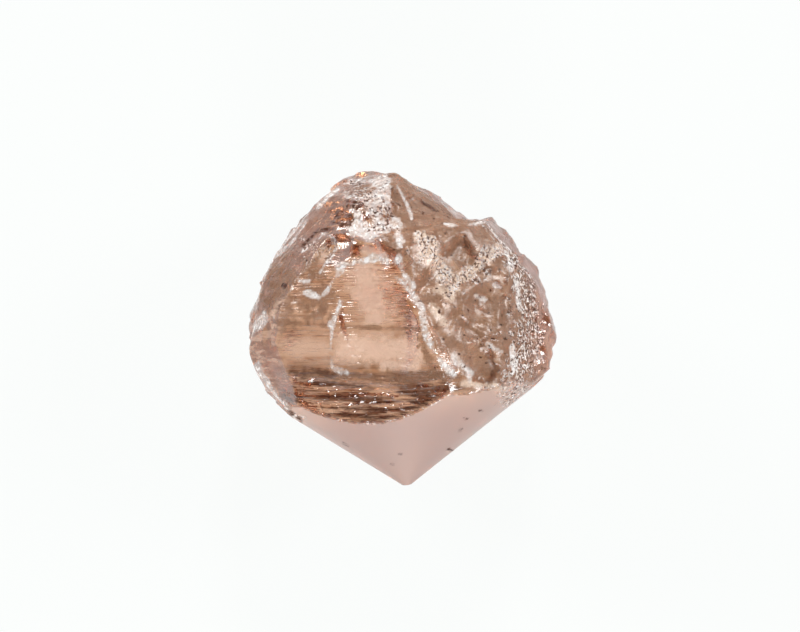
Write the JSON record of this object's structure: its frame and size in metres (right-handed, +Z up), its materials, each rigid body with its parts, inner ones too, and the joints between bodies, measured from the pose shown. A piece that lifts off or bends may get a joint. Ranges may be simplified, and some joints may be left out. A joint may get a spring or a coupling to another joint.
{
  "type": "rough diamond",
  "caption": "Rough uncut diamond: a broken see-through crystal with one smooth conical point, lying on a flat cleavage face.",
  "frame": {"origin": "on the resting face, under the middle of the stone's box", "axes": "-Y towards the conical point, +Z up from the flat face that the stone lies on"},
  "size_m": [0.0062, 0.0064, 0.0051],
  "materials": {
    "diamond": "clear pinkish brown crystal, satin on the cone and glittery where it is broken"
  },
  "bodies": {
    "root": {"rough_diamond": "diamond"}
  },
  "joints": []
}
